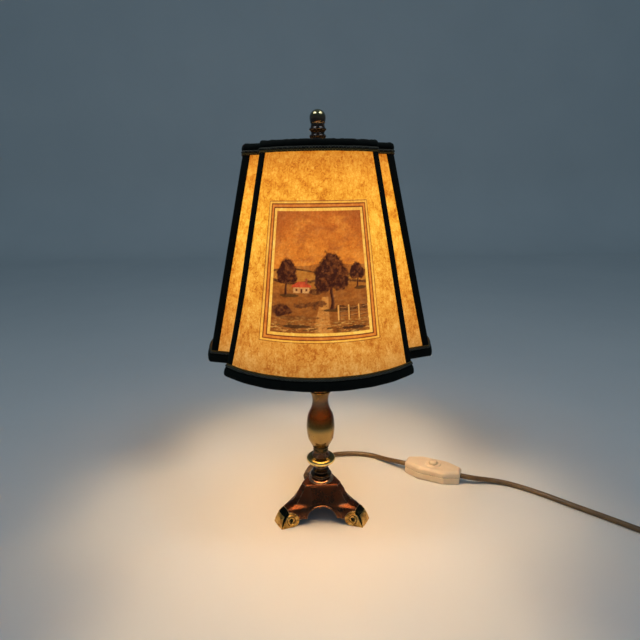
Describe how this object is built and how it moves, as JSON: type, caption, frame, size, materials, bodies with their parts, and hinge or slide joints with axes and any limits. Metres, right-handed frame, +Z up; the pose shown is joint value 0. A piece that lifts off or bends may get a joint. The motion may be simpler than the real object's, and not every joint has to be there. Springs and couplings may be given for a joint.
{
  "type": "table lamp",
  "caption": "Table lamp with a cast tripod base, turned brass column, round notched parchment shade with velvet trims, harp, bulb, and a cord with an inline switch and plug.",
  "frame": {"origin": "on the floor plane under the column's axis, the bottom centre of the lamp without its cord", "axes": "+Z up along the column, +X towards the switch, +Y away from the viewer of the front shade panel"},
  "size_m": [0.6101, 0.2204, 0.41],
  "materials": {
    "patina": "dark copper-brown patina, satin",
    "brass": "polished, slightly aged",
    "steel": "plain zinc-plated",
    "parchment": "mottled amber parchment",
    "velvet": "dark bottle-green velvet",
    "ivory": "aged ivory, semi-gloss",
    "cord": "smooth gold-brown sheath",
    "ceramic": "white glazed",
    "glass": "clear bulb glass",
    "rubber": "matt brown"
  },
  "bodies": {
    "lamp": {"base_casting": "patina", "foot_back": "brass", "foot_front_left": "brass", "foot_front_right": "brass", "spool_neck": "patina", "knop_ring": "brass", "collar": "patina", "vase_column": "brass", "top_dish": "brass", "harp_saddle": "brass", "riser_tube": "brass", "holder_cap": "brass", "holder_shell": "brass", "holder_core": "ceramic", "holder_screw_shell": "brass", "centre_contact": "brass", "stem_rod": "steel", "rod_washer": "steel", "rod_nut": "brass", "inner_lead": "rubber", "harp": "brass", "harp_stud": "brass", "switch_housing_bottom": "ivory", "switch_housing_top": "ivory", "switch_screw": "steel", "switch_contact": "brass", "switch_terminal_1": "brass", "switch_terminal_2": "brass", "switch_spring": "steel", "cord_lamp_to_switch": "cord", "cord_grommet": "rubber", "cord_coil": "cord", "cord_switch_to_coil": "cord", "coil_tie": "rubber", "plug_body": "ivory", "plug_pin_1": "steel", "plug_pin_2": "steel"},
    "bulb": {"bulb_cap": "steel", "bulb_glass": "glass"},
    "shade": {"shade_frame": "steel", "panel_front": "parchment", "panel_right": "parchment", "panel_back": "parchment", "panel_left": "parchment", "notch_sheet_front_right": "parchment", "notch_sheet_back_right": "parchment", "notch_sheet_back_left": "parchment", "notch_sheet_front_left": "parchment", "trim_top": "velvet", "trim_bottom": "velvet", "ribbon_front_a": "velvet", "ribbon_front_b": "velvet", "ribbon_right_a": "velvet", "ribbon_right_b": "velvet", "ribbon_back_a": "velvet", "ribbon_back_b": "velvet", "ribbon_left_a": "velvet", "ribbon_left_b": "velvet"},
    "finial": {"finial": "brass"},
    "button": {"switch_button": "ivory"}
  },
  "joints": [
    {"name": "shade_turn", "type": "hinge", "parent": "lamp", "child": "shade", "pos_m": [0, 0, 0.375], "axis": [0, 0, 1], "continuous": true},
    {"name": "finial_turn", "type": "hinge", "parent": "lamp", "child": "finial", "pos_m": [0, 0, 0.38], "axis": [0, 0, 1], "continuous": true},
    {"name": "bulb_turn", "type": "hinge", "parent": "lamp", "child": "bulb", "pos_m": [0, 0, 0.23], "axis": [0, 0, 1], "continuous": true},
    {"name": "button_press", "type": "slide", "parent": "lamp", "child": "button", "axis": [0, 0, -1], "range_m": [0, 0.0025], "stiffness_N_per_m": 250, "springref_m": -0.002, "deforming": ["switch_spring"]}
  ]
}
